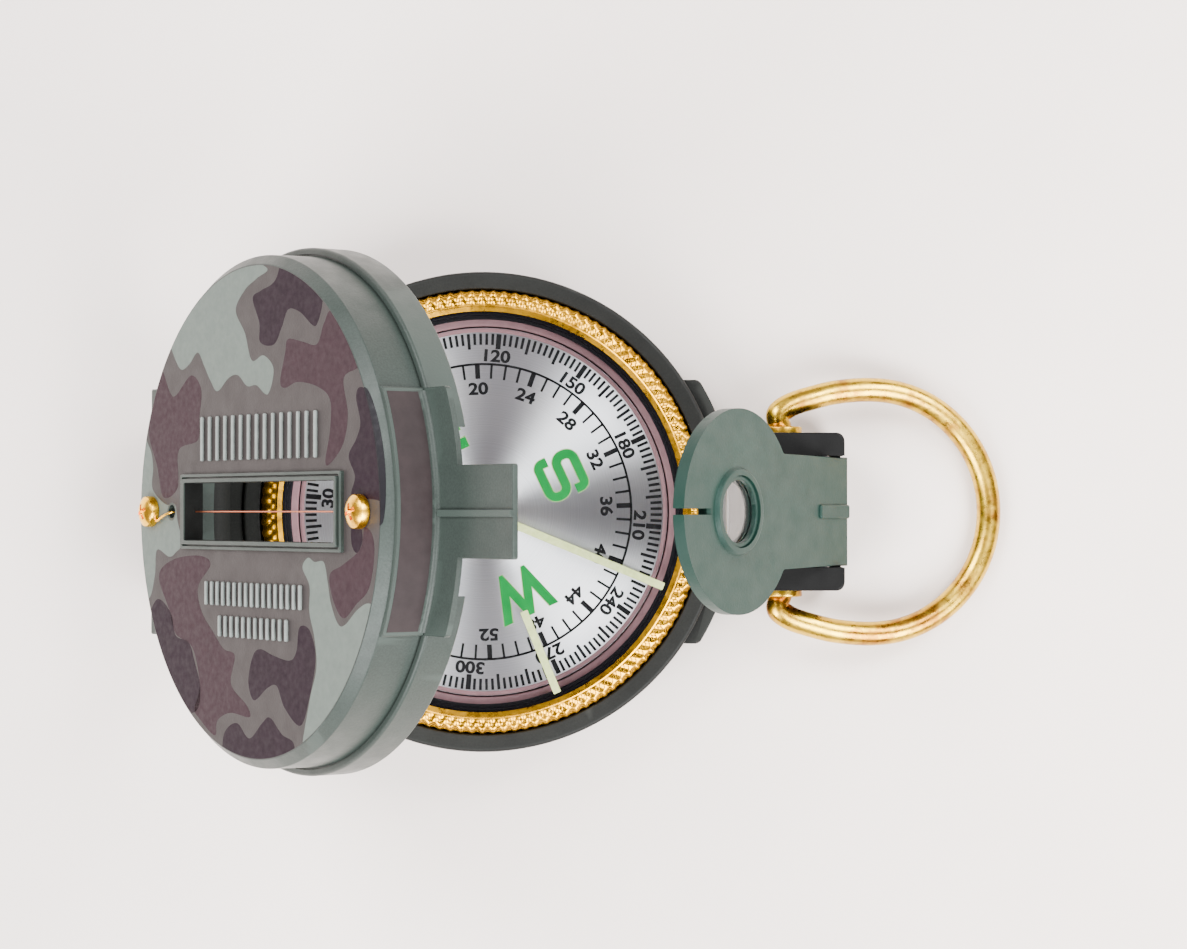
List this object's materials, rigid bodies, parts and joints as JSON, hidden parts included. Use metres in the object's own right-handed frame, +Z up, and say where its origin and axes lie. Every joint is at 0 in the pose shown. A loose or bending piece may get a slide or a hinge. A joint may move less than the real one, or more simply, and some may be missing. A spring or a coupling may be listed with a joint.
{
  "type": "sighting compass",
  "caption": "Folding sighting compass with knurled rotating bezel, floating dial, hinged cover with sight window and wire, hinged lens bracket and wire thumb loop.",
  "frame": {"origin": "centre of the round body's flat underside, on the axis of the bezel and dial", "axes": "+X from the cover hinge towards the thumb loop, +Y to the left of that, +Z up out of the dial"},
  "size_m": [0.0985, 0.055, 0.0703],
  "materials": {
    "body_plastic": "satin",
    "cover_plastic": "satin",
    "bezel_brass": "polished",
    "loop_brass": "worn",
    "steel": "brushed",
    "copper": "satin",
    "dial_metal": "brushed",
    "black_rubber": "matte",
    "luminous": "matte",
    "crystal": "clear"
  },
  "bodies": {
    "body": {"base_housing": "body_plastic", "cover_hinge_pin": "steel", "bracket_hinge_pin": "steel", "damping_cup": "copper", "pivot_post": "steel", "bracket_spring": "steel", "bezel_spring": "steel", "loop_bushing_left": "loop_brass", "loop_bushing_right": "loop_brass"},
    "dial": {"dial_card": "dial_metal", "jewel_cup": "bezel_brass", "dial_magnet_left": "steel", "dial_magnet_right": "steel"},
    "bezel": {"bezel_ring": "bezel_brass", "bezel_crystal": "crystal", "crystal_gasket": "black_rubber", "index_line_long": "luminous", "index_line_short": "luminous"},
    "cover": {"cover_shell": "cover_plastic", "sight_wire": "steel", "wire_screw_front": "bezel_brass", "wire_screw_rear": "bezel_brass"},
    "bracket": {"lens_bracket": "cover_plastic", "magnifier_lens": "crystal", "lens_retaining_ring": "cover_plastic"},
    "loop": {"thumb_loop": "loop_brass"}
  },
  "joints": [
    {"name": "cover_hinge", "type": "hinge", "parent": "body", "child": "cover", "pos_m": [-0.0314, 0, 0.0088], "axis": [0, -1, 0], "range_deg": [-54, 38]},
    {"name": "bracket_hinge", "type": "hinge", "parent": "body", "child": "bracket", "pos_m": [0.03884, 0, 0.012], "axis": [0, 1, 0], "range_deg": [-55.31, 38.93]},
    {"name": "bezel_turn", "type": "hinge", "parent": "body", "child": "bezel", "pos_m": [0, 0, 0.01], "axis": [0, 0, 1], "continuous": true},
    {"name": "dial_turn", "type": "hinge", "parent": "body", "child": "dial", "pos_m": [0, 0, 0.0084], "axis": [0, 0, 1], "continuous": true},
    {"name": "loop_hinge", "type": "hinge", "parent": "body", "child": "loop", "pos_m": [0.0346, 0, 0.006], "axis": [0, -1, 0], "range_deg": [0, 70]}
  ],
  "couplings": [
    {"joint": "bracket_hinge", "follows": "cover_hinge", "ratio": 1.0241}
  ]
}
